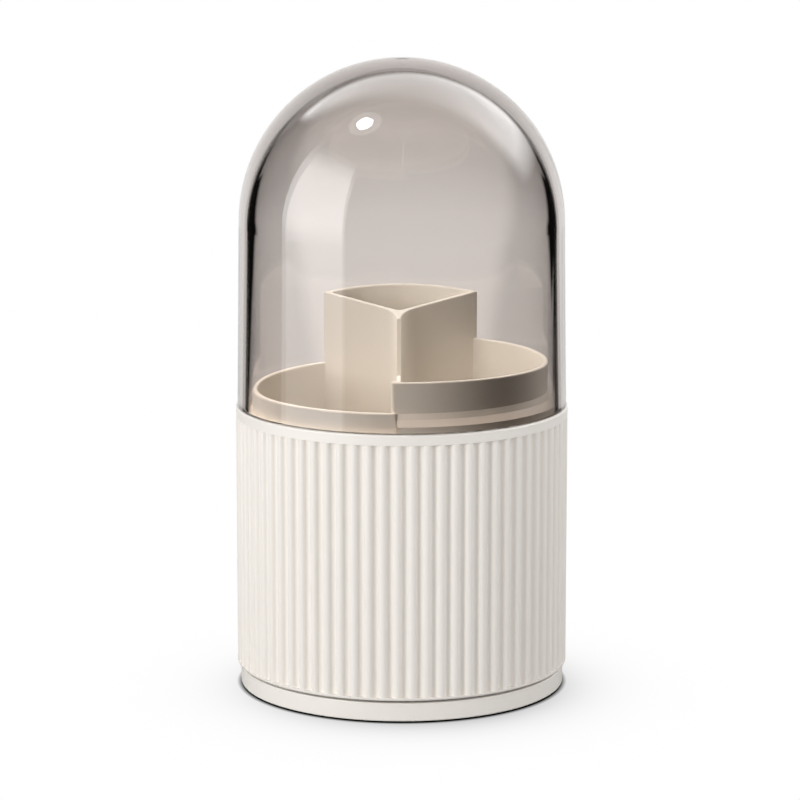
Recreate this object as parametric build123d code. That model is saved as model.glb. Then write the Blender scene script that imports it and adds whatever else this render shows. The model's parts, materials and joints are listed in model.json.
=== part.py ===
"""Rotating makeup brush holder: a fluted drum on a ball turntable, a brush insert and a clear dome.

Millimetres, +Z up. The origin is on the table, under the middle of the base.
The front of the holder faces -Y, and +X is on the right.
"""
import os
from math import atan2, cos, degrees, hypot, radians, sin, sqrt, tan

from build123d import *

# Rubber pads under the base
PAD_COUNT = 4
PAD_R = 6.0
PAD_THICKNESS = 2.0
PAD_PROUD = 0.5
PAD_INSET = 9.4
PAD_CLEARANCE = 0.1

# Base: a shallow dish with a low wall and a hub
BASE_INSET = 1.1
BASE_HEIGHT = 6.35
BASE_DECK = 2.4
BASE_WALL = 2.4
BASE_BOTTOM_ROUND = 0.5
BASE_TOP_ROUND = 0.3
HUB_R = 7.5
HUB_RISE = 3.2

# Fluted sleeve
SLEEVE_R = 57.5
SLEEVE_RIM_ABOVE_BASE = 92.15
SEAM_GAP = 0.9
SLEEVE_WALL = 1.6
RIM_WALL = 4.0
BAND_HEIGHT = 3.6
FOOT_BAND_HEIGHT = 1.0
FOOT_BAND_ROUND = 0.8
RIM_ROUND = 0.55
FLUTE_COUNT = 72
FLUTE_DEPTH = 1.7
FLUTE_CREST_SHARE = 0.55
FLUTE_PHASE = -1.4
LEDGE_DEPTH = 5.0
LEDGE_THICKNESS = 2.0
BOSS_R = 3.2
BOSS_HEIGHT = 6.4
BOSS_WALL_OVERLAP = 0.5

# Ball turntable
BALL_COUNT = 24
BALL_R = 2.0
BALL_RING_INSET = 18.4
BALL_PLAY = 0.05
RACE_WIDTH = 10.0
RACE_THICKNESS = 2.4
RACE_GAP = 1.6
CAGE_WIDTH = 8.0
CAGE_THICKNESS = 1.1
CAGE_POCKET_CLEARANCE = 0.12

# Drum floor, which closes the sleeve and turns on the bush
FLOOR_THICKNESS = 2.4
FLOOR_CLEARANCE = 0.2
FLOOR_HUB_RISE = 1.1

# Pivot: bolt from below, bush in the drum floor, washer and nut above it
BOLT_R = 2.0
BOLT_HEAD_R = 4.0
BOLT_HEAD_HEIGHT = 2.4
BOLT_HEAD_CLEARANCE = 1.0
BOLT_END_BEYOND_NUT = 0.8
BOLT_HEAD_ROUND = 0.6
HEX_KEY_ACROSS_FLATS = 2.5
HEX_KEY_DEPTH = 1.4
BUSH_WALL = 1.54
BUSH_FLANGE_R = 6.5
BUSH_FLANGE_THICKNESS = 1.0
RUNNING_FIT = 0.06
ASSEMBLY_FIT = 0.02
AXIAL_PLAY = 0.1
WASHER_R = 4.5
WASHER_THICKNESS = 0.8
NUT_ACROSS_FLATS = 7.0
NUT_HEIGHT = 3.2

# Small self-tapping screws
SCREW_COUNT = 4
SCREW_R = 1.1
SCREW_HEAD_R = 2.0
SCREW_HEAD_HEIGHT = 1.3
SCREW_HEAD_CLEARANCE = 0.2
SCREW_HEAD_RECESS = 1.4
SCREW_HEAD_ROUND = 0.4
SCREW_TIP_MARGIN = 0.3
SCREW_SLOT_WIDTH = 0.5
SCREW_SLOT_DEPTH = 0.5
RACE_SCREW_EDGE = 1.5
FLOOR_SCREW_GRIP = 5.0
SCREW_TIP_ROOM = 0.4

# Brush insert: a cup with a low left side, a higher right side and a tall back pocket
INSERT_WALL = 1.5
INSERT_FLOOR = 2.0
INSERT_UNDER_CLEARANCE = 1.1
LOW_RIM_RISE = 6.4
LOW_WALL = 1.8
LOW_WALL_PROUD = 1.2
MID_RIM_RISE = 15.9
MID_RIM_SLOPE = -0.016
TALL_RIM_RISE = 23.7
TALL_RIM_SLOPE = 0.198
COLLAR_WIDTH = 2.5
COLLAR_DROP = 0.6
COLLAR_SHOULDER_RISE = 2.0
COLLAR_BEND_RISE = 4.2
COLLAR_BEND_SHARE = 0.33
COLLAR_TOP_RISE = 6.2
COLLAR_CLEARANCE = 0.4
DIVIDER_X = -1.0
JUNCTION_SHARE = 0.4545
LEFT_CORNER_ANGLE = 33.3
RIGHT_CORNER_ANGLE = 31.9
ARM_FILLET_SHARE = 0.237
APEX_FILLET = 2.2
WELL_FILLET = 0.8
NOSE_LENGTH = 0.6
STEP_MID_X = -3.5
STEP_LOW_X = -1.6
STEP_LOW_ROUND = 0.9
STEP_POST_DEPTH = 3.0
STEP_ROUND = 1.2
INSERT_RIM_ROUND = 0.5

# Clear dome
DOME_INSET = 0.5
DOME_TAPER = 0.9
DOME_SIDE_HEIGHT = 63.7
DOME_BASE_WALL = 3.5
DOME_EQUATOR_WALL = 2.9
DOME_INNER_CENTRE_DROP = 1.45
DOME_EDGE_ROUND = 0.2

# Overrun of cuts, and the overlap of pieces of one moulding
OVERRUN = 1.0
MERGE = 2.0

# Heights worked out from the sizes above
base_bottom_z = PAD_PROUD
base_top_z = base_bottom_z + BASE_HEIGHT
deck_z = base_bottom_z + BASE_DECK
hub_top_z = deck_z + HUB_RISE
sleeve_bottom_z = base_top_z + SEAM_GAP
rim_z = base_top_z + SLEEVE_RIM_ABOVE_BASE
band_z = rim_z - BAND_HEIGHT
ledge_z = rim_z - LEDGE_DEPTH
lower_race_top_z = deck_z + RACE_THICKNESS
upper_race_z = lower_race_top_z + RACE_GAP
ball_z = lower_race_top_z + RACE_GAP / 2
floor_z = upper_race_z + RACE_THICKNESS
floor_top_z = floor_z + FLOOR_THICKNESS
bush_z = hub_top_z + AXIAL_PLAY
floor_hub_z = bush_z + BUSH_FLANGE_THICKNESS
floor_hub_top_z = floor_top_z + FLOOR_HUB_RISE
washer_z = floor_hub_top_z + AXIAL_PLAY
nut_z = washer_z + WASHER_THICKNESS
bolt_end_z = nut_z + NUT_HEIGHT + BOLT_END_BEYOND_NUT
bolt_seat_z = base_bottom_z + BOLT_HEAD_HEIGHT + BOLT_HEAD_CLEARANCE
insert_z = bolt_end_z + INSERT_UNDER_CLEARANCE
low_rim_z = rim_z + LOW_RIM_RISE
mid_rim_z = rim_z + MID_RIM_RISE
tall_rim_z = rim_z + TALL_RIM_RISE

# Radii worked out from the sizes above
base_r = SLEEVE_R - BASE_INSET
pad_ring_r = base_r - PAD_INSET
ball_ring_r = base_r - BALL_RING_INSET
groove_r = BALL_R + BALL_PLAY
race_screw_ring_r = ball_ring_r + RACE_WIDTH / 2 - RACE_SCREW_EDGE
sleeve_bore_r = SLEEVE_R - FLUTE_DEPTH - SLEEVE_WALL
mouth_r = SLEEVE_R - RIM_WALL
collar_r = mouth_r - COLLAR_CLEARANCE
insert_r = collar_r - COLLAR_WIDTH
boss_ring_r = sleeve_bore_r - BOSS_R + BOSS_WALL_OVERLAP
bush_bore_r = BOLT_R + RUNNING_FIT
bush_r = bush_bore_r + BUSH_WALL
low_wall_r = insert_r + LOW_WALL_PROUD
ledge_r = low_wall_r + COLLAR_CLEARANCE
well_r = insert_r - INSERT_WALL
low_well_r = low_wall_r - LOW_WALL
junction_y = insert_r * JUNCTION_SHARE
arm_fillet = insert_r * ARM_FILLET_SHARE
dome_base_r = SLEEVE_R - DOME_INSET
dome_equator_r = dome_base_r - DOME_TAPER
reach = 2 * SLEEVE_R


def rod(radius, bottom, top, at=(0, 0)):
    """Upright cylinder between two heights."""
    x, y = at
    upright = Cylinder(radius, top - bottom, align=(Align.CENTER, Align.CENTER, Align.MIN))
    return Pos(x, y, bottom) * upright


def ring(outer, inner, bottom, top):
    """Upright tube between two heights."""
    return rod(outer, bottom, top) - rod(inner, bottom - OVERRUN, top + OVERRUN)


def prism(plan, bottom, top):
    """Plan outline raised between two heights."""
    return Pos(0, 0, bottom) * extrude(plan, amount=top - bottom)


def turned(points):
    """Solid of revolution about Z from a closed outline of (radius, height) points."""
    return revolve(Plane.XZ * make_face(Polyline(*points, close=True)), Axis.Z)


def polar(radius, angle):
    """Point at an angle in degrees, from +X towards +Y."""
    return (radius * cos(radians(angle)), radius * sin(radians(angle)))


def around(count, radius, start):
    """Places spaced evenly round the Z axis, the first at the start angle in degrees."""
    return [polar(radius, start + 360 * i / count) for i in range(count)]


pad_places = around(PAD_COUNT, pad_ring_r, 0)
race_screw_places = around(SCREW_COUNT, race_screw_ring_r, 180 / SCREW_COUNT)
boss_places = around(SCREW_COUNT, boss_ring_r, 180 / SCREW_COUNT)
ball_places = around(BALL_COUNT, ball_ring_r, 0)


def screw(at, seat, tip, up):
    """Pan-head screw: the head sits at one height and the shank runs up or down to its tip."""
    x, y = at
    way = 1 if up else -1
    length = abs(tip - seat)
    head = rod(SCREW_HEAD_R, -SCREW_HEAD_HEIGHT, 0)
    head = fillet(head.edges().group_by(Axis.Z)[0], SCREW_HEAD_ROUND)
    slot = Box(reach, SCREW_SLOT_WIDTH, SCREW_SLOT_DEPTH, align=(Align.CENTER, Align.CENTER, Align.MIN))
    head -= Pos(0, 0, -SCREW_HEAD_HEIGHT) * slot
    shank = rod(SCREW_R, 0, length)
    shank = chamfer(shank.edges().group_by(Axis.Z)[-1], SCREW_R / 2)
    upright = head + shank
    turn = Rot(0, 0, 0) if way > 0 else Rot(180, 0, 0)
    return Pos(x, y, seat) * turn * upright


def base_plate():
    wall_inner_r = base_r - BASE_WALL
    body = rod(base_r, base_bottom_z, base_top_z)
    body = fillet(body.edges().group_by(Axis.Z)[0], BASE_BOTTOM_ROUND)
    body = fillet(body.edges().group_by(Axis.Z)[-1], BASE_TOP_ROUND)
    body -= rod(wall_inner_r, deck_z, base_top_z + OVERRUN)
    body += rod(HUB_R, base_bottom_z, hub_top_z)
    body -= rod(BOLT_HEAD_R + BOLT_HEAD_CLEARANCE, base_bottom_z - OVERRUN, bolt_seat_z)
    body -= rod(BOLT_R + ASSEMBLY_FIT, bolt_seat_z - OVERRUN, hub_top_z + OVERRUN)
    pad_seat_z = PAD_THICKNESS
    for place in pad_places:
        body -= rod(PAD_R + PAD_CLEARANCE, base_bottom_z - OVERRUN, pad_seat_z, place)
    for place in race_screw_places:
        head_seat_z = base_bottom_z + SCREW_HEAD_RECESS
        body -= rod(SCREW_HEAD_R + SCREW_HEAD_CLEARANCE, base_bottom_z - OVERRUN, head_seat_z, place)
        body -= rod(SCREW_R + ASSEMBLY_FIT, base_bottom_z, deck_z + OVERRUN, place)
    return body


def anti_slip_pads():
    return [rod(PAD_R, 0, PAD_THICKNESS, place) for place in pad_places]


def race(bottom, top):
    """Race ring with the ball groove in the side that faces the balls, and four screw holes."""
    body = ring(ball_ring_r + RACE_WIDTH / 2, ball_ring_r - RACE_WIDTH / 2, bottom, top)
    body -= Pos(0, 0, ball_z) * Torus(ball_ring_r, groove_r)
    for place in race_screw_places:
        body -= rod(SCREW_R + ASSEMBLY_FIT, bottom - OVERRUN, top + OVERRUN, place)
    return body


def lower_race_screws():
    seat = base_bottom_z + SCREW_HEAD_RECESS
    tip = lower_race_top_z - SCREW_TIP_MARGIN
    return [screw(place, seat, tip, True) for place in race_screw_places]


def upper_race_screws():
    tip = upper_race_z + SCREW_TIP_MARGIN
    return [screw(place, floor_top_z, tip, False) for place in race_screw_places]


def pivot_bolt():
    head = rod(BOLT_HEAD_R, bolt_seat_z - BOLT_HEAD_HEIGHT, bolt_seat_z)
    head = fillet(head.edges().group_by(Axis.Z)[0], BOLT_HEAD_ROUND)
    key = RegularPolygon(HEX_KEY_ACROSS_FLATS / 2, 6, major_radius=False)
    head_z = bolt_seat_z - BOLT_HEAD_HEIGHT
    head -= prism(key, head_z - OVERRUN, head_z + HEX_KEY_DEPTH)
    shank = rod(BOLT_R, bolt_seat_z, bolt_end_z)
    return head + chamfer(shank.edges().group_by(Axis.Z)[-1], BOLT_END_BEYOND_NUT / 2)


def thrust_washer():
    return ring(WASHER_R, BOLT_R + ASSEMBLY_FIT, washer_z, nut_z)


def lock_nut():
    nut = prism(RegularPolygon(NUT_ACROSS_FLATS / 2, 6, major_radius=False), nut_z, nut_z + NUT_HEIGHT)
    return nut - rod(BOLT_R + ASSEMBLY_FIT, nut_z - OVERRUN, nut_z + NUT_HEIGHT + OVERRUN)


def ball_cage():
    outer = ball_ring_r + CAGE_WIDTH / 2
    inner = ball_ring_r - CAGE_WIDTH / 2
    body = ring(outer, inner, ball_z - CAGE_THICKNESS / 2, ball_z + CAGE_THICKNESS / 2)
    for place in ball_places:
        body -= rod(BALL_R + CAGE_POCKET_CLEARANCE, ball_z - BALL_R, ball_z + BALL_R, place)
    return body


def bearing_balls():
    return [Pos(x, y, ball_z) * Sphere(BALL_R) for x, y in ball_places]


def flute_plan():
    """Closed wave: a wide crest arc and a narrower valley arc for each flute."""
    pitch = 360 / FLUTE_COUNT
    crest_half = pitch * FLUTE_CREST_SHARE / 2
    turn_r = SLEEVE_R - FLUTE_DEPTH * FLUTE_CREST_SHARE
    valley_r = SLEEVE_R - FLUTE_DEPTH
    arcs = []
    for i in range(FLUTE_COUNT):
        crest = FLUTE_PHASE - 90 + pitch * i
        rise = polar(turn_r, crest - crest_half)
        fall = polar(turn_r, crest + crest_half)
        next_rise = polar(turn_r, crest + pitch - crest_half)
        arcs.append(ThreePointArc(rise, polar(SLEEVE_R, crest), fall))
        arcs.append(ThreePointArc(fall, polar(valley_r, crest + pitch / 2), next_rise))
    return make_face(arcs)


def fluted_sleeve():
    band = rod(SLEEVE_R, band_z, rim_z)
    band = fillet(band.edges().group_by(Axis.Z)[-1], RIM_ROUND)
    foot_band = rod(SLEEVE_R, sleeve_bottom_z, sleeve_bottom_z + FOOT_BAND_HEIGHT)
    foot_band = fillet(foot_band.edges().group_by(Axis.Z)[0], FOOT_BAND_ROUND)
    body = prism(flute_plan(), sleeve_bottom_z + FOOT_BAND_HEIGHT, band_z) + band + foot_band
    ledge_bottom_z = ledge_z - LEDGE_THICKNESS
    bore = turned([
        (0, sleeve_bottom_z - OVERRUN),
        (sleeve_bore_r, sleeve_bottom_z - OVERRUN),
        (sleeve_bore_r, ledge_bottom_z - (sleeve_bore_r - ledge_r)),
        (ledge_r, ledge_bottom_z),
        (ledge_r, ledge_z),
        (mouth_r, ledge_z),
        (mouth_r, rim_z + OVERRUN),
        (0, rim_z + OVERRUN),
    ])
    body -= bore
    boss_top_z = floor_top_z + BOSS_HEIGHT
    hole_top_z = floor_top_z + FLOOR_SCREW_GRIP + SCREW_TIP_ROOM
    for place in boss_places:
        body += rod(BOSS_R, floor_top_z, boss_top_z, place)
    for place in boss_places:
        body -= rod(SCREW_R + ASSEMBLY_FIT, floor_top_z - OVERRUN, hole_top_z, place)
    return body


def drum_floor():
    body = rod(sleeve_bore_r - FLOOR_CLEARANCE, floor_z, floor_top_z)
    body += rod(HUB_R, floor_hub_z, floor_hub_top_z)
    body -= rod(bush_r + ASSEMBLY_FIT, floor_hub_z - OVERRUN, floor_hub_top_z + OVERRUN)
    for place in boss_places + race_screw_places:
        body -= rod(SCREW_R + ASSEMBLY_FIT, floor_z - OVERRUN, floor_top_z + OVERRUN, place)
    return body


def floor_screws():
    return [screw(place, floor_z, floor_top_z + FLOOR_SCREW_GRIP, True) for place in boss_places]


def pivot_bush():
    body = rod(BUSH_FLANGE_R, bush_z, floor_hub_z) + rod(bush_r, bush_z, floor_hub_top_z)
    return body - rod(bush_bore_r, bush_z - OVERRUN, floor_hub_top_z + OVERRUN)


def arm_line(side, offset):
    """A point on a tall-pocket arm's face and the arm's direction, for the left or right arm.

    The offset is from the middle of the arm towards the front.
    """
    corner_angle = LEFT_CORNER_ANGLE if side < 0 else RIGHT_CORNER_ANGLE
    corner_x, corner_y = polar(insert_r, 90 - side * corner_angle)
    along_x = corner_x - DIVIDER_X
    along_y = corner_y - junction_y
    length = hypot(along_x, along_y)
    way = (along_x / length, along_y / length)
    front = (side * way[1], -side * way[0])
    point = (DIVIDER_X + front[0] * offset, junction_y + front[1] * offset)
    return point, way


def at_x(line, x):
    """Point of a line at a given x."""
    (px, py), (wx, wy) = line
    return (x, py + (x - px) * wy / wx)


def along(line, distance):
    (px, py), (wx, wy) = line
    return (px + wx * distance, py + wy * distance)


def outline(points):
    return make_face(Polyline(*points, close=True))


def nearest(face, point):
    """Corner of a face that is nearest to a point."""
    return min(face.vertices(), key=lambda v: hypot(v.X - point[0], v.Y - point[1]))


def well_corner(side):
    """Where the divider's face meets the front face of an arm."""
    divider_face_x = DIVIDER_X + side * INSERT_WALL / 2
    return at_x(arm_line(side, INSERT_WALL / 2), divider_face_x)


def rounded_ends(plan, radius):
    """Rounds the corners of a plan that lie at a radius."""
    ends = [v for v in plan.vertices() if abs(hypot(v.X, v.Y) - radius) < ASSEMBLY_FIT]
    return fillet(ends, WELL_FILLET).face()


def side_well(side, radius):
    """Plan of the left or right well, between the divider, an arm and the outer wall."""
    corner = well_corner(side)
    sharp = outline([
        (corner[0], -reach),
        corner,
        along(arm_line(side, INSERT_WALL / 2), reach),
        (side * 2 * reach, reach),
        (side * 2 * reach, -reach),
    ])
    plan = (sharp & Circle(radius)).face()
    plan = fillet(nearest(plan, corner), arm_fillet).face()
    return rounded_ends(plan, radius)


def tall_well():
    """Plan of the tall pocket between the two arms and the back wall."""
    left = arm_line(-1, -INSERT_WALL / 2)
    right = arm_line(1, -INSERT_WALL / 2)
    (lx, ly), (lwx, lwy) = left
    (rx, ry), (rwx, rwy) = right
    distance = ((rx - lx) * rwy - (ry - ly) * rwx) / (lwx * rwy - lwy * rwx)
    apex = along(left, distance)
    sharp = outline([apex, along(right, reach), (0, 2 * reach), along(left, reach)])
    plan = (sharp & Circle(well_r)).face()
    plan = fillet(nearest(plan, apex), APEX_FILLET).face()
    return rounded_ends(plan, well_r)


def tall_outline():
    """Plan of the tall pocket with its walls and the nose that runs into the divider."""
    left = well_corner(-1)
    right = well_corner(1)
    half_angles = []
    for side in (-1, 1):
        wx, wy = arm_line(side, 0)[1]
        half_angles.append((180 - degrees(atan2(abs(wx), wy))) / 2)
    longest = max(arm_fillet / tan(radians(angle)) for angle in half_angles)
    nose_y = min(left[1], right[1]) - longest - NOSE_LENGTH
    sharp = outline([
        (left[0], nose_y),
        left,
        along(arm_line(-1, INSERT_WALL / 2), reach),
        (0, 2 * reach),
        along(arm_line(1, INSERT_WALL / 2), reach),
        right,
        (right[0], nose_y),
    ])
    rounded = fillet([nearest(sharp, left), nearest(sharp, right)], arm_fillet).face()
    return (rounded & Circle(insert_r)).face()


def mid_outline():
    """Plan of the higher right wall, which ends in a post at the front step."""
    zone = outline([
        (STEP_MID_X, -reach),
        (STEP_MID_X, 0),
        (DIVIDER_X, junction_y),
        along(arm_line(1, 0), reach),
        (2 * reach, reach),
        (2 * reach, -reach),
    ])
    wall = (zone & Circle(insert_r)) - Circle(well_r)
    post_x = well_corner(1)[0]
    post_y = -well_r + STEP_POST_DEPTH
    post = outline([(STEP_MID_X, -reach), (STEP_MID_X, post_y), (post_x, post_y), (post_x, -reach)])
    return wall + (post & Circle(insert_r))


def sloped_top(solid, height, slope):
    """Cuts a solid with a plane that has a height at the axis and a slope towards the back."""
    lift = reach * slope
    above = make_face(Polyline(
        (-reach, height - lift),
        (reach, height + lift),
        (reach, height + 2 * reach),
        (-reach, height + 2 * reach),
        close=True,
    ))
    cutter = extrude(Plane.YZ * above, amount=reach, both=True)
    return solid - cutter


def top_edges(solid, height, slope):
    """Edges that lie in a sloped top."""
    return [e for e in solid.edges() if all(
        abs(height + slope * (e @ t).Y - (e @ t).Z) < ASSEMBLY_FIT / 2 for t in (0, 1 / 2, 1))]


def from_axis(edge):
    """Distance of an edge's middle from the Z axis."""
    middle = edge @ (1 / 2)
    return hypot(middle.X, middle.Y)


def off_line(edge, line):
    """Distance of an edge's middle from a line in plan."""
    middle = edge @ (1 / 2)
    (px, py), (wx, wy) = line
    return abs((middle.X - px) * wy - (middle.Y - py) * wx)


def brush_insert():
    left_well = side_well(-1, low_well_r)
    right_well = side_well(1, well_r)
    back_well = tall_well()
    left = well_corner(-1)

    cup = rod(insert_r, insert_z, low_rim_z)
    low_zone = outline([
        (STEP_LOW_X, -reach),
        (STEP_LOW_X, left[1]),
        along(arm_line(-1, INSERT_WALL / 2), reach),
        (-2 * reach, reach),
        (-2 * reach, -reach),
    ])
    low_plan = (low_zone & Circle(low_wall_r)).face()
    low_end = nearest(low_plan, (STEP_LOW_X, -low_wall_r))
    skin = prism(fillet(low_end, STEP_LOW_ROUND), insert_z, low_rim_z)
    skin_rim = [e for e in top_edges(skin, low_rim_z, 0) if from_axis(e) > low_wall_r - ASSEMBLY_FIT]
    skin = fillet(skin_rim, INSERT_RIM_ROUND)
    cup += skin
    collar = turned([
        (well_r + INSERT_WALL / 2, ledge_z),
        (collar_r, ledge_z),
        (collar_r, rim_z + COLLAR_SHOULDER_RISE),
        (insert_r + COLLAR_WIDTH * COLLAR_BEND_SHARE, rim_z + COLLAR_BEND_RISE),
        (insert_r, rim_z + COLLAR_TOP_RISE),
        (well_r + INSERT_WALL / 2, rim_z + COLLAR_TOP_RISE),
    ])
    collar -= prism(low_zone, rim_z - COLLAR_DROP, rim_z + COLLAR_TOP_RISE + OVERRUN)
    cup += collar
    for well in (left_well, right_well, back_well):
        cup -= prism(well, insert_z + INSERT_FLOOR, low_rim_z + OVERRUN)
    well_mouths = [e for e in top_edges(cup, low_rim_z, 0) if from_axis(e) < low_well_r + ASSEMBLY_FIT]
    cup = fillet(well_mouths, INSERT_RIM_ROUND)

    mid = prism(mid_outline(), low_rim_z - MERGE, mid_rim_z + MERGE)
    post_edges = [e for e in mid.edges().filter_by(Axis.Z) if e.center().X < STEP_MID_X + ASSEMBLY_FIT]
    mid = fillet(post_edges, STEP_ROUND)
    mid = sloped_top(mid, mid_rim_z, MID_RIM_SLOPE)

    tall_top_z = tall_rim_z + insert_r * TALL_RIM_SLOPE + MERGE
    tall = prism(tall_outline() - back_well, low_rim_z - MERGE, tall_top_z)
    tall = sloped_top(tall, tall_rim_z, TALL_RIM_SLOPE)
    tall = fillet(top_edges(tall, tall_rim_z, TALL_RIM_SLOPE), INSERT_RIM_ROUND)

    whole = cup + tall + mid
    mid_top = top_edges(whole, mid_rim_z, MID_RIM_SLOPE)
    mid_rim = [e for e in mid_top if off_line(e, arm_line(1, INSERT_WALL / 2)) > INSERT_WALL / 3]
    return fillet(mid_rim, INSERT_RIM_ROUND).solid()


def dome_lid():
    equator_z = rim_z + DOME_SIDE_HEIGHT
    inner_r = dome_equator_r - DOME_EQUATOR_WALL
    inner_z = equator_z - DOME_INNER_CENTRE_DROP
    half = sqrt(2) / 2
    outer_side = Line((dome_base_r, rim_z), (dome_equator_r, equator_z))
    outer_cap = ThreePointArc(
        (dome_equator_r, equator_z),
        (dome_equator_r * half, equator_z + dome_equator_r * half),
        (0, equator_z + dome_equator_r),
    )
    crown = Line((0, equator_z + dome_equator_r), (0, inner_z + inner_r))
    inner_cap = ThreePointArc(
        (0, inner_z + inner_r),
        (inner_r * half, inner_z + inner_r * half),
        (inner_r, inner_z),
    )
    inner_side = Line((inner_r, inner_z), (dome_base_r - DOME_BASE_WALL, rim_z))
    foot = Line((dome_base_r - DOME_BASE_WALL, rim_z), (dome_base_r, rim_z))
    profile = make_face([outer_side, outer_cap, crown, inner_cap, inner_side, foot])
    shell = revolve(Plane.XZ * profile, Axis.Z)
    return fillet(shell.edges().group_by(Axis.Z)[0], DOME_EDGE_ROUND)


NODES = {
    "base_plate": base_plate,
    "anti_slip_pads": anti_slip_pads,
    "lower_race": lambda: race(deck_z, lower_race_top_z),
    "lower_race_screws": lower_race_screws,
    "pivot_bolt": pivot_bolt,
    "thrust_washer": thrust_washer,
    "lock_nut": lock_nut,
    "ball_cage": ball_cage,
    "bearing_balls": bearing_balls,
    "upper_race": lambda: race(upper_race_z, floor_z),
    "upper_race_screws": upper_race_screws,
    "drum_floor": drum_floor,
    "pivot_bush": pivot_bush,
    "floor_screws": floor_screws,
    "fluted_sleeve": fluted_sleeve,
    "brush_insert": brush_insert,
    "dome_lid": dome_lid,
}

os.makedirs("parts", exist_ok=True)
for name, make in NODES.items():
    made = make()
    shape = Compound(children=made) if isinstance(made, list) else made
    export_step(shape, f"parts/{name}.step")
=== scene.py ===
"""Looks of the rotating makeup brush holder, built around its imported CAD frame.

Metres, +Z up, front at -Y. Each piece is its CAD node with a material, and the rest is the studio.
"""
import json
import math

import bpy
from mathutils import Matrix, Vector

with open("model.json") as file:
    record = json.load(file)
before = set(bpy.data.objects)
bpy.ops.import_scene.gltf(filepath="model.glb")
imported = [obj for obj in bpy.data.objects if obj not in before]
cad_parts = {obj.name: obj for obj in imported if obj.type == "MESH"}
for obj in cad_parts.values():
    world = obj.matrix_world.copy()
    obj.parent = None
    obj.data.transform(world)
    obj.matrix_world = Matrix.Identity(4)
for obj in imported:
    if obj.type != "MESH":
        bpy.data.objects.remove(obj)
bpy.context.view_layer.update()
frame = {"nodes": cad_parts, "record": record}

# Camera, fitted to the photograph's ellipses
CAMERA_DISTANCE = 1.2128
CAMERA_HEIGHT = 0.3332
CAMERA_SIDE = -0.00063
CAMERA_PITCH = 0.190
CAMERA_REACH = 100.0
FOCAL_PIXELS = 3559.0
IMAGE_PIXELS = 800.0
SENSOR_MM = 36.0

# Moulded plastic and rubber: cloudy colour, uneven gloss, fine grain
IVORY_COLOUR = (0.87, 0.83, 0.78)
IVORY_SHADE = (0.855, 0.815, 0.765)
IVORY_ROUGHNESS = 0.42
BEIGE_COLOUR = (0.82, 0.765, 0.68)
BEIGE_SHADE = (0.805, 0.75, 0.665)
BEIGE_ROUGHNESS = 0.40
NYLON_COLOUR = (0.82, 0.82, 0.80)
NYLON_SHADE = (0.78, 0.78, 0.76)
NYLON_ROUGHNESS = 0.45
RUBBER_COLOUR = (0.04, 0.04, 0.04)
RUBBER_SHADE = (0.03, 0.03, 0.03)
RUBBER_ROUGHNESS = 0.75
RUBBER_GRAIN_SCALE = 700.0
RUBBER_GRAIN_STRENGTH = 0.2
PLASTIC_IOR = 1.5
CLOUD_SCALE = 38.0
CLOUD_DETAIL = 3.0
GLOSS_SPREAD = 0.04
GRAIN_SCALE = 900.0
FINE_DETAIL = 2.0
GRAIN_STRENGTH = 0.02
GRAIN_HEIGHT = 0.0004

# Steel
STEEL_COLOUR = (0.55, 0.55, 0.56)
STEEL_ROUGHNESS = 0.3
POLISH_SCALE = 600.0
POLISH_SPREAD = 0.08

# Smoke acrylic. Each surface keeps back soft light, and strengthens lamp light by more than the smoke takes,
# so that the insert's lamps can be low enough for it to look right without the dome.
ACRYLIC_IOR = 1.49
SMOKE_COLOUR = (0.373, 0.17, 0.033, 1.0)
SMOKE_DENSITY = 40.0
DOME_DIFFUSE_LOSS = 0.85
DOME_LAMP_GAIN = 0.8

# Light from all around, and the floor with a painted dark line of contact shadow and a painted halo of shadow
# at the foot
FILL_LIGHT = 0.52
FLOOR_SIZE = 40.0
FLOOR_COLOUR = (0.5, 0.5, 0.5, 1.0)
FOOT_R = 0.056
FOOT_SHADE = 0.002
# Painted shadow halo about the foot: its centre, depth and reach
SHADOW_HALO_CENTRE = (0.0034, -0.0079, 0.0)
SHADOW_HALO_DEPTH = 0.205
SHADOW_HALO_REACH = 0.011

# Ray depths: limits between whole counts of the surfaces that a ray has met
NONE_DEPTH = 0.5
INSIDE_DEPTH = 1.5
ONE_WALL_DEPTH = 2.5
BOTH_WALLS_DEPTH = 3.5

# Sweep behind, as seen through both walls of the dome. A turn is a distance aside over one behind.
WHITE = (1.0, 1.0, 1.0, 1.0)
SWEEP_TINT = (1.0, 0.957, 0.933, 1.0)
SWEEP_BRIGHTNESS = 0.84
SWEEP_SOFT_START_TURN = 0.085
SWEEP_SOFT_END_TURN = 0.125
SWEEP_SOFT_SHARE = 0.76
SWEEP_HALF_START = 0.250
SWEEP_HALF_END = 0.285
SWEEP_WIDENS_FROM = 1.1
SWEEP_FAR_START = 1.0
SWEEP_FAR_END = 2.6
SWEEP_FAR_SHARE = 0.80
LEAST_BEHIND = 0.001

# Sides and front, as seen through the dome from other angles, and the dark that its surfaces mirror
ROUND_BRIGHTNESS = 0.60
ROUND_START_TURN = 1.0
ROUND_END_TURN = 1.3
SIDE_BRIGHTNESS = 0.004

# Sweep behind, as the dome's edges and outer face show it
EDGE_BRIGHTNESS = 1.0
EDGE_FADE_TURN = 0.64
EDGE_FADE_SHARE = 0.78
EDGE_START_TURN = 0.70
EDGE_END_TURN = 0.80
EDGE_TOP_Z = 0.6
EDGE_TOP_SHARE = 0.5

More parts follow.
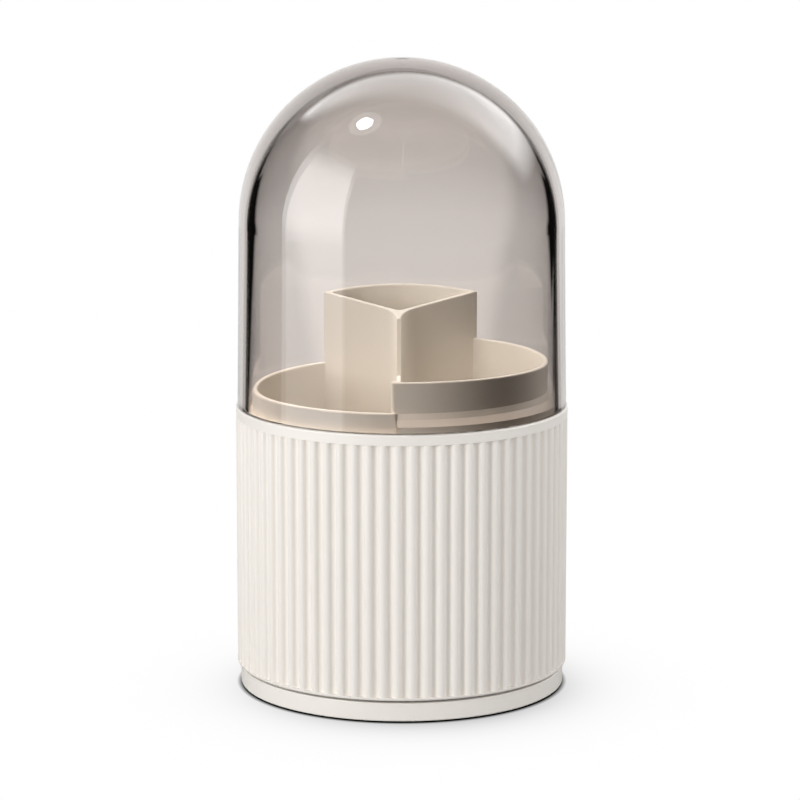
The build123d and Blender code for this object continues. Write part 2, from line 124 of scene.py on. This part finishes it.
# Panel above and behind, which the dome's crown mirrors as a crescent: axes, and spans along them
PANEL_AIM = (0.20, 0.943, 0.263)
PANEL_EDGE_START = 0.38
PANEL_EDGE_END = 0.60
PANEL_FRONT = (-0.1, 0.977, -0.188)
PANEL_RIM_START = 0.57
PANEL_RIM_END = 0.50
PANEL_UP = (0.0, 0.189, 0.982)
PANEL_LEAST_RISE = 0.001
PANEL_LEFT_START = -1.0
PANEL_LEFT_END = -0.85
PANEL_FOOT_START = 0.24
PANEL_FOOT_END = 0.46
PANEL_LOW_Z = 0.6
PANEL_HIGH_Z = 0.97
PANEL_LOW_BRIGHTNESS = 6.0
PANEL_HIGH_BRIGHTNESS = 1.9

# Lamps: place, width, height, and brightness for each group of pieces that they light
LAMP_AIM = (0.0, 0.0, 0.1)
LAMPS = {
    "left_low": ((-0.8, -0.3, 0.25), 0.4, 0.4, {"body": 1.3, "insert": 2.14}),
    "front_left": ((-0.9, -0.9, 0.4), 0.5, 0.5, {"body": 9.4, "insert": 2.80}),
    "front_low": ((0.0, -1.6, 0.4), 1.6, 0.8, {"body": 0.5, "insert": 0.14}),
    "right": ((0.55, -0.2, 0.3), 0.44, 0.6, {"body": 1.45}),
    "back_left": ((-0.6, 0.6, 0.4), 0.5, 0.8, {"body": 0.75, "insert": 3.36}),
    "back_right": ((0.6, 0.6, 0.4), 0.5, 0.8, {"body": 1.1, "insert": 2.31}),
    "high": ((-0.5, -0.3, 0.8), 0.5, 0.5, {"insert": 3.79}),
    "over": ((0.0, 0.0, 1.2), 0.6, 0.6, {"insert": 4.31}),
}

# Tall softbox that the dome mirrors. It brightens with height, then fades out.
TALL_CARD_PLACE = (-0.40, -0.2, 0.31)
TALL_CARD_AIM = (0.0, 0.0, 0.31)
TALL_CARD_WIDTH = 0.40
TALL_CARD_HEIGHT = 0.6
TALL_CARD_LOW_Z = 0.05
TALL_CARD_HIGH_Z = 0.20
TALL_CARD_LOW_BRIGHTNESS = 1.5
TALL_CARD_HIGH_BRIGHTNESS = 3.9
TALL_CARD_FADE_START_Z = 0.42
TALL_CARD_FADE_END_Z = 0.66

# Round softboxes that the dome mirrors, a bright spot and the glow about it: place, radius, brightness
ROUND_CARD_AIM = (0.0, 0.0, 0.165)
ROUND_CARD_CORNERS = 48
ROUND_CARDS = {
    "round_card": ((-0.36, -0.13, 1.13), 0.085, 24.0),
    "round_glow": ((-0.36, -0.13, 1.14), 0.17, 1.8),
}


def new_material(name):
    """Empty node material, with its output node."""
    material = bpy.data.materials.new(name)
    material.use_nodes = True
    material.node_tree.nodes.clear()
    output = material.node_tree.nodes.new("ShaderNodeOutputMaterial")
    return material, material.node_tree, output


def link(tree, source, socket, target, target_socket):
    tree.links.new(source.outputs[socket], target.inputs[target_socket])


def value_node(tree, operation, first, second):
    """Result of a sum on two sockets or numbers."""
    node = tree.nodes.new("ShaderNodeMath")
    node.operation = operation
    for index, item in enumerate((first, second)):
        if isinstance(item, float):
            node.inputs[index].default_value = item
        else:
            tree.links.new(item, node.inputs[index])
    return node.outputs["Value"]


def product(tree, *factors):
    """Product of sockets or numbers."""
    result = factors[0]
    for factor in factors[1:]:
        result = value_node(tree, "MULTIPLY", result, factor)
    return result


def ramp(tree, value, low, high, at_low, at_high, way="LINEAR"):
    """Value mapped from one span to another, held at its ends."""
    node = tree.nodes.new("ShaderNodeMapRange")
    node.interpolation_type = way
    tree.links.new(value, node.inputs["Value"])
    node.inputs["From Min"].default_value = low
    node.inputs["From Max"].default_value = high
    node.inputs["To Min"].default_value = at_low
    node.inputs["To Max"].default_value = at_high
    return node.outputs["Result"]


def mix_shaders(tree, factor, first, second):
    """Shader that goes from the first to the second as the factor goes from 0 to 1."""
    node = tree.nodes.new("ShaderNodeMixShader")
    for index, socket in enumerate((factor, first, second)):
        tree.links.new(socket, node.inputs[index])
    return node.outputs["Shader"]


def noise(tree, scale, detail):
    """Noise fixed to the object."""
    place = tree.nodes.new("ShaderNodeTexCoord")
    node = tree.nodes.new("ShaderNodeTexNoise")
    node.inputs["Scale"].default_value = scale
    node.inputs["Detail"].default_value = detail
    link(tree, place, "Object", node, "Vector")
    return node.outputs["Fac"]


def uneven_gloss(tree, shader, marks, roughness, spread):
    """Roughness that wanders about its mean with a noise."""
    gloss = ramp(tree, marks, 0.0, 1.0, roughness - spread, roughness + spread)
    tree.links.new(gloss, shader.inputs["Roughness"])


def plastic(name, colour, shade, roughness, grain=GRAIN_SCALE, strength=GRAIN_STRENGTH):
    """Satin moulded plastic: cloudy colour, uneven gloss and a fine moulding grain."""
    material, tree, output = new_material(name)
    shader = tree.nodes.new("ShaderNodeBsdfPrincipled")
    shader.inputs["IOR"].default_value = PLASTIC_IOR
    cloud = noise(tree, CLOUD_SCALE, CLOUD_DETAIL)
    tint = tree.nodes.new("ShaderNodeMix")
    tint.data_type = "RGBA"
    tint.inputs["A"].default_value = (*colour, 1.0)
    tint.inputs["B"].default_value = (*shade, 1.0)
    tree.links.new(cloud, tint.inputs["Factor"])
    link(tree, tint, "Result", shader, "Base Color")
    uneven_gloss(tree, shader, cloud, roughness, GLOSS_SPREAD)
    relief = tree.nodes.new("ShaderNodeBump")
    relief.inputs["Strength"].default_value = strength
    relief.inputs["Distance"].default_value = GRAIN_HEIGHT
    tree.links.new(noise(tree, grain, FINE_DETAIL), relief.inputs["Height"])
    link(tree, relief, "Normal", shader, "Normal")
    link(tree, shader, "BSDF", output, "Surface")
    return material


def metal(name, colour, roughness):
    """Plain steel with fine, uneven polish marks."""
    material, tree, output = new_material(name)
    shader = tree.nodes.new("ShaderNodeBsdfPrincipled")
    shader.inputs["Base Color"].default_value = (*colour, 1.0)
    shader.inputs["Metallic"].default_value = 1.0
    uneven_gloss(tree, shader, noise(tree, POLISH_SCALE, FINE_DETAIL), roughness, POLISH_SPREAD)
    link(tree, shader, "BSDF", output, "Surface")
    return material


def smoke_clear(name):
    """Polished smoke acrylic that takes light out along its length and lets lamps through."""
    material, tree, output = new_material(name)
    shader = tree.nodes.new("ShaderNodeBsdfPrincipled")
    shader.inputs["Base Color"].default_value = WHITE
    shader.inputs["Roughness"].default_value = 0.0
    shader.inputs["IOR"].default_value = ACRYLIC_IOR
    shader.inputs["Transmission Weight"].default_value = 1.0
    path = tree.nodes.new("ShaderNodeLightPath")
    shadow = path.outputs["Is Shadow Ray"]
    diffuse = path.outputs["Is Diffuse Ray"]
    passed = value_node(tree, "SUBTRACT", 1.0, product(tree, diffuse, DOME_DIFFUSE_LOSS))
    passed = value_node(tree, "ADD", passed, product(tree, shadow, DOME_LAMP_GAIN))
    through = tree.nodes.new("ShaderNodeBsdfTransparent")
    tree.links.new(passed, through.inputs["Color"])
    either = value_node(tree, "MAXIMUM", shadow, diffuse)
    surface = mix_shaders(tree, either, shader.outputs["BSDF"], through.outputs["BSDF"])
    tree.links.new(surface, output.inputs["Surface"])
    body = tree.nodes.new("ShaderNodeVolumeAbsorption")
    body.inputs["Color"].default_value = SMOKE_COLOUR
    body.inputs["Density"].default_value = SMOKE_DENSITY
    link(tree, body, "Volume", output, "Volume")
    return material


def dress_nodes():
    """Each CAD node gets the material of its slot."""
    materials = {
        "ivory_plastic": plastic("ivory_plastic", IVORY_COLOUR, IVORY_SHADE, IVORY_ROUGHNESS),
        "beige_plastic": plastic("beige_plastic", BEIGE_COLOUR, BEIGE_SHADE, BEIGE_ROUGHNESS),
        "bearing_plastic": plastic("bearing_plastic", NYLON_COLOUR, NYLON_SHADE, NYLON_ROUGHNESS),
        "rubber": plastic("rubber", RUBBER_COLOUR, RUBBER_SHADE, RUBBER_ROUGHNESS,
                          RUBBER_GRAIN_SCALE, RUBBER_GRAIN_STRENGTH),
        "smoke_clear": smoke_clear("smoke_clear"),
        "steel": metal("steel", STEEL_COLOUR, STEEL_ROUGHNESS),
    }
    for part in frame["record"]["subparts"]:
        node = frame["nodes"][part["node"]]
        node.data.materials.clear()
        node.data.materials.append(materials[part["material_slot"]])


def sort_rays(tree):
    """Sockets that are 1 for one kind of ray and 0 for others.

    camera: straight from the camera. mirrored: out of glass or gloss. outside: has entered no glass.
    straight: never mirrored. passed: straight, through a dome wall. through: through both dome walls.
    """
    path = tree.nodes.new("ShaderNodeLightPath")
    depth = path.outputs["Transmission Depth"]
    mirrored = value_node(tree, "MAXIMUM", path.outputs["Is Glossy Ray"], path.outputs["Is Transmission Ray"])
    direct = value_node(tree, "LESS_THAN", path.outputs["Diffuse Depth"], NONE_DEPTH)
    straight = value_node(tree, "LESS_THAN", path.outputs["Glossy Depth"], NONE_DEPTH)
    inside = value_node(tree, "GREATER_THAN", depth, INSIDE_DEPTH)
    return {
        "camera": path.outputs["Is Camera Ray"],
        "mirrored": product(tree, mirrored, direct),
        "outside": value_node(tree, "LESS_THAN", depth, NONE_DEPTH),
        "straight": straight,
        "passed": product(tree, inside, straight),
        "through": value_node(tree, "GREATER_THAN", depth, BOTH_WALLS_DEPTH),
    }


def parts_of(tree, vector):
    """X, Y and Z sockets of a vector."""
    split = tree.nodes.new("ShaderNodeSeparateXYZ")
    tree.links.new(vector, split.inputs["Vector"])
    return split.outputs["X"], split.outputs["Y"], split.outputs["Z"]


def studio_brightness(tree, vector, sweep, rays):
    """How bright the studio looks in a direction or at a floor point, with the sweep's level given."""
    x, y, z = parts_of(tree, vector)
    beside = value_node(tree, "ABSOLUTE", x, 0.0)
    turn = value_node(tree, "DIVIDE", beside, value_node(tree, "MAXIMUM", y, LEAST_BEHIND))
    back = value_node(tree, "GREATER_THAN", y, 0.0)
    front = value_node(tree, "SUBTRACT", 1.0, back)

    soft = ramp(tree, turn, SWEEP_SOFT_START_TURN, SWEEP_SOFT_END_TURN, 1.0, SWEEP_SOFT_SHARE, "SMOOTHSTEP")
    widening = value_node(tree, "MAXIMUM", value_node(tree, "DIVIDE", y, SWEEP_WIDENS_FROM), 1.0)
    half = value_node(tree, "DIVIDE", beside, widening)
    cut = ramp(tree, half, SWEEP_HALF_START, SWEEP_HALF_END, 1.0, 0.0)
    aside = ramp(tree, turn, ROUND_START_TURN, ROUND_END_TURN, 0.0, ROUND_BRIGHTNESS)
    sweep = value_node(tree, "MAXIMUM", product(tree, soft, cut, back, sweep), aside)

    edge = ramp(tree, turn, 0.0, EDGE_FADE_TURN, EDGE_BRIGHTNESS, EDGE_BRIGHTNESS * EDGE_FADE_SHARE)
    edge_end = ramp(tree, turn, EDGE_START_TURN, EDGE_END_TURN, 1.0, 0.0)
    high = ramp(tree, z, 0.0, EDGE_TOP_Z, 1.0, EDGE_TOP_SHARE)
    below_top = value_node(tree, "LESS_THAN", z, EDGE_TOP_Z)

    seen = tree.nodes.new("ShaderNodeMix")
    tree.links.new(rays["through"], seen.inputs["Factor"])
    tree.links.new(product(tree, edge, edge_end, high, below_top, back), seen.inputs["A"])
    tree.links.new(product(tree, sweep, rays["straight"]), seen.inputs["B"])
    round_front = product(tree, front, rays["passed"], ROUND_BRIGHTNESS)
    level = value_node(tree, "MAXIMUM", seen.outputs["Result"], round_front)
    return value_node(tree, "MAXIMUM", level, SIDE_BRIGHTNESS)


def along(tree, vector, axis):
    """Length of a direction along an axis."""
    node = tree.nodes.new("ShaderNodeVectorMath")
    node.operation = "DOT_PRODUCT"
    tree.links.new(vector, node.inputs[0])
    node.inputs[1].default_value = axis
    return node.outputs["Value"]


def panel_brightness(tree, vector):
    """The wide panel above and behind, which the dome's crown mirrors as a crescent."""
    x, _, z = parts_of(tree, vector)
    level = ramp(tree, z, PANEL_LOW_Z, PANEL_HIGH_Z, PANEL_LOW_BRIGHTNESS, PANEL_HIGH_BRIGHTNESS)
    rim = ramp(tree, along(tree, vector, PANEL_FRONT), PANEL_RIM_START, PANEL_RIM_END, 0.0, 1.0)
    aim = along(tree, vector, PANEL_AIM)
    edge = ramp(tree, aim, PANEL_EDGE_START, PANEL_EDGE_END, 0.0, 1.0, "SMOOTHSTEP")
    rise = value_node(tree, "MAXIMUM", along(tree, vector, PANEL_UP), PANEL_LEAST_RISE)
    slant = value_node(tree, "DIVIDE", x, rise)
    left = ramp(tree, slant, PANEL_LEFT_START, PANEL_LEFT_END, 0.0, 1.0)
    foot = ramp(tree, z, PANEL_FOOT_START, PANEL_FOOT_END, 0.0, 1.0)
    return product(tree, level, rim, edge, left, foot)


def sweep_tint(tree, rays):
    """White, or the sweep's warm tint for rays through both dome walls."""
    tint = tree.nodes.new("ShaderNodeMix")
    tint.data_type = "RGBA"
    tint.inputs["A"].default_value = WHITE
    tint.inputs["B"].default_value = SWEEP_TINT
    tree.links.new(rays["through"], tint.inputs["Factor"])
    return tint.outputs["Result"]


def make_world():
    """White to the camera, the studio to the dome, and an even fill to all else."""
    world = bpy.data.worlds.new("studio")
    bpy.context.scene.world = world
    world.use_nodes = True
    tree = world.node_tree
    tree.nodes.clear()
    output = tree.nodes.new("ShaderNodeOutputWorld")
    place = tree.nodes.new("ShaderNodeTexCoord")
    direction = place.outputs["Generated"]
    rays = sort_rays(tree)
    around = studio_brightness(tree, direction, SWEEP_BRIGHTNESS * SWEEP_FAR_SHARE, rays)
    panel = product(tree, panel_brightness(tree, direction), rays["outside"])
    around = value_node(tree, "MAXIMUM", around, panel)
    seen = value_node(tree, "MAXIMUM", product(tree, rays["mirrored"], around), rays["camera"])
    either = value_node(tree, "MAXIMUM", rays["camera"], rays["mirrored"])
    fill = product(tree, value_node(tree, "SUBTRACT", 1.0, either), FILL_LIGHT)
    light = tree.nodes.new("ShaderNodeBackground")
    tree.links.new(sweep_tint(tree, rays), light.inputs["Color"])
    tree.links.new(value_node(tree, "ADD", seen, fill), light.inputs["Strength"])
    link(tree, light, "Background", output, "Surface")


def floor_white_with_painted_shadow(tree, position):
    """White of the floor to the camera, with a painted dark line of contact shadow and a painted halo of
    shadow at the foot.
    """
    length = tree.nodes.new("ShaderNodeVectorMath")
    length.operation = "LENGTH"
    tree.links.new(position, length.inputs[0])
    # Painted contact shadow: black under the foot, rising to white over a thin ring about it.
    painted_contact_shadow = ramp(tree, length.outputs["Value"], FOOT_R, FOOT_R + FOOT_SHADE, 0.0, 1.0)
    away = tree.nodes.new("ShaderNodeVectorMath")
    away.operation = "DISTANCE"
    tree.links.new(position, away.inputs[0])
    away.inputs[1].default_value = SHADOW_HALO_CENTRE
    # Painted shadow halo: darkest at the foot, fading outward about a centre set to the front and right.
    inward = value_node(tree, "SUBTRACT", FOOT_R, away.outputs["Value"])
    painted_shadow_halo = value_node(tree, "EXPONENT", value_node(tree, "DIVIDE", inward, SHADOW_HALO_REACH), 0.0)
    return product(tree, painted_contact_shadow, value_node(tree, "SUBTRACT", 1.0, product(tree, painted_shadow_halo, SHADOW_HALO_DEPTH)))


def make_floor():
    """Pale floor: white with painted shadow at the foot to the camera, the studio to the dome, and plain
    diffuse to all else.
    """
    bpy.ops.mesh.primitive_plane_add(size=FLOOR_SIZE, location=(0.0, 0.0, 0.0))
    floor = bpy.context.object
    floor.name = "floor"
    material, tree, output = new_material("pale_floor")
    position = tree.nodes.new("ShaderNodeNewGeometry").outputs["Position"]
    rays = sort_rays(tree)
    shade = tree.nodes.new("ShaderNodeBsdfDiffuse")
    shade.inputs["Color"].default_value = FLOOR_COLOUR
    glow = tree.nodes.new("ShaderNodeEmission")
    tree.links.new(floor_white_with_painted_shadow(tree, position), glow.inputs["Strength"])
    plain = mix_shaders(tree, rays["camera"], shade.outputs["BSDF"], glow.outputs["Emission"])
    _, y, _ = parts_of(tree, position)
    sweep = ramp(tree, y, SWEEP_FAR_START, SWEEP_FAR_END, SWEEP_BRIGHTNESS,
                 SWEEP_BRIGHTNESS * SWEEP_FAR_SHARE)
    seen = tree.nodes.new("ShaderNodeEmission")
    tree.links.new(studio_brightness(tree, position, sweep, rays), seen.inputs["Strength"])
    tree.links.new(sweep_tint(tree, rays), seen.inputs["Color"])
    surface = mix_shaders(tree, rays["mirrored"], plain, seen.outputs["Emission"])
    tree.links.new(surface, output.inputs["Surface"])
    floor.data.materials.append(material)
    return floor


def finish_card(card, name, place, aim, depth, brightness):
    """Turn a softbox to its aim, and let it glow for mirrored rays up to a depth in glass."""
    card.name = name
    card.rotation_euler = (Vector(aim) - Vector(place)).to_track_quat("Z", "Y").to_euler()
    material, tree, output = new_material(name)
    path = tree.nodes.new("ShaderNodeLightPath")
    shallow = value_node(tree, "LESS_THAN", path.outputs["Transmission Depth"], depth)
    glow = tree.nodes.new("ShaderNodeEmission")
    tree.links.new(product(tree, shallow, brightness(tree)), glow.inputs["Strength"])
    clear = tree.nodes.new("ShaderNodeBsdfTransparent")
    both = tree.nodes.new("ShaderNodeAddShader")
    tree.links.new(glow.outputs["Emission"], both.inputs[0])
    tree.links.new(clear.outputs["BSDF"], both.inputs[1])
    link(tree, both, "Shader", output, "Surface")
    card.data.materials.append(material)
    card.visible_camera = False
    card.visible_diffuse = False
    card.visible_shadow = False


def tall_card_brightness(tree):
    """Brightness of the tall softbox by height."""
    _, _, z = parts_of(tree, tree.nodes.new("ShaderNodeNewGeometry").outputs["Position"])
    level = ramp(tree, z, TALL_CARD_LOW_Z, TALL_CARD_HIGH_Z, TALL_CARD_LOW_BRIGHTNESS,
                 TALL_CARD_HIGH_BRIGHTNESS, "SMOOTHSTEP")
    fade = ramp(tree, z, TALL_CARD_FADE_START_Z, TALL_CARD_FADE_END_Z, 1.0, 0.0, "SMOOTHSTEP")
    return product(tree, level, fade)


def make_cards():
    """Softboxes that only the dome mirrors."""
    bpy.ops.mesh.primitive_plane_add(size=1.0, location=TALL_CARD_PLACE)
    card = bpy.context.object
    card.scale = (TALL_CARD_WIDTH, TALL_CARD_HEIGHT, 1.0)
    finish_card(card, "left_card", TALL_CARD_PLACE, TALL_CARD_AIM, ONE_WALL_DEPTH, tall_card_brightness)
    for name, (place, radius, level) in ROUND_CARDS.items():
        bpy.ops.mesh.primitive_circle_add(radius=radius, vertices=ROUND_CARD_CORNERS, fill_type="NGON",
                                          location=place)
        card = bpy.context.object
        finish_card(card, name, place, ROUND_CARD_AIM, NONE_DEPTH, lambda tree, flat=level: flat)


def make_lamp(name, place, width, height, brightness, lit):
    """Softbox of a given size whose surface has a given brightness, for some of the pieces."""
    data = bpy.data.lights.new(name, "AREA")
    data.shape = "RECTANGLE"
    data.size = width
    data.size_y = height
    data.energy = brightness * math.pi * width * height
    lamp = bpy.data.objects.new(name, data)
    bpy.context.collection.objects.link(lamp)
    lamp.location = place
    lamp.rotation_euler = (Vector(LAMP_AIM) - Vector(place)).to_track_quat("-Z", "Y").to_euler()
    lamp.light_linking.receiver_collection = lit


def make_lamps(floor):
    """Lamps for the body and the floor, and lamps for the insert. None lights the dome."""
    lit_by = {group: bpy.data.collections.new(group) for group in ("body", "insert")}
    for name, node in frame["nodes"].items():
        if name != "dome_lid":
            lit_by["insert" if name == "brush_insert" else "body"].objects.link(node)
    lit_by["body"].objects.link(floor)
    for name, (place, width, height, levels) in LAMPS.items():
        for group, brightness in levels.items():
            make_lamp(f"{name}_{group}", place, width, height, brightness, lit_by[group])


def make_camera():
    """Camera at the photograph's viewing angle."""
    data = bpy.data.cameras.new("camera")
    data.sensor_width = SENSOR_MM
    data.lens = FOCAL_PIXELS / IMAGE_PIXELS * SENSOR_MM
    data.clip_end = CAMERA_REACH
    camera = bpy.data.objects.new("camera", data)
    bpy.context.collection.objects.link(camera)
    camera.location = (CAMERA_SIDE, -CAMERA_DISTANCE, CAMERA_HEIGHT)
    camera.rotation_euler = (math.pi / 2 - CAMERA_PITCH, 0.0, 0.0)
    bpy.context.scene.camera = camera


dress_nodes()
make_world()
make_lamps(make_floor())
make_cards()
make_camera()
bpy.context.scene.view_settings.view_transform = "Standard"
